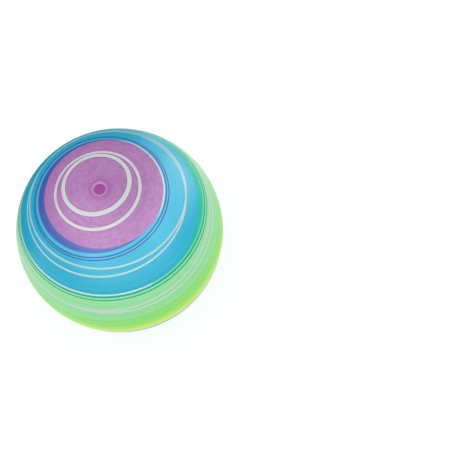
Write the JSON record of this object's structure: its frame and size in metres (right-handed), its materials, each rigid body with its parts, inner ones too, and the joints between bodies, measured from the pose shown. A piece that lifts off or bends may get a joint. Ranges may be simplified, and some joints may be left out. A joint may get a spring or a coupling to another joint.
{
  "type": "bouncy ball",
  "caption": "Inflatable vinyl play ball with rainbow colour bands and leaning pale rings round both poles, and a pull-out plug in its needle valve.",
  "frame": {"origin": "centre of the ball", "axes": "+Z out of the ball through the needle valve at the purple pole, -Y to the front, which faces the camera when the purple pole is up, +X to the right of that view"},
  "size_m": [0.2291, 0.2291, 0.229],
  "materials": {
    "skin_vinyl": "satin",
    "valve_vinyl": "satin",
    "plug_vinyl": "satin",
    "purple_ink": "satin",
    "violet_ink": "satin",
    "blue_ink": "satin",
    "teal_ink": "satin",
    "green_ink": "satin",
    "lime_ink": "satin",
    "yellow_ink": "satin",
    "pale_ink": "satin",
    "lilac_ink": "satin",
    "cyan_ink": "satin"
  },
  "bodies": {
    "ball": {"skin": "skin_vinyl", "valve_body": "valve_vinyl", "purple_coat": "purple_ink", "violet_coat": "violet_ink", "blue_coat": "blue_ink", "teal_coat": "teal_ink", "green_coat": "green_ink", "lime_coat": "lime_ink", "yellow_coat": "yellow_ink", "pale_lines": "pale_ink", "lilac_lines": "lilac_ink", "cyan_lines": "cyan_ink", "violet_lines": "violet_ink", "teal_lines": "teal_ink", "lime_lines": "lime_ink"},
    "plug": {"valve_plug": "plug_vinyl"}
  },
  "joints": [
    {"name": "plug_pull", "type": "slide", "parent": "ball", "child": "plug", "axis": [0, 0, 1], "range_m": [0, 0.045]}
  ]
}
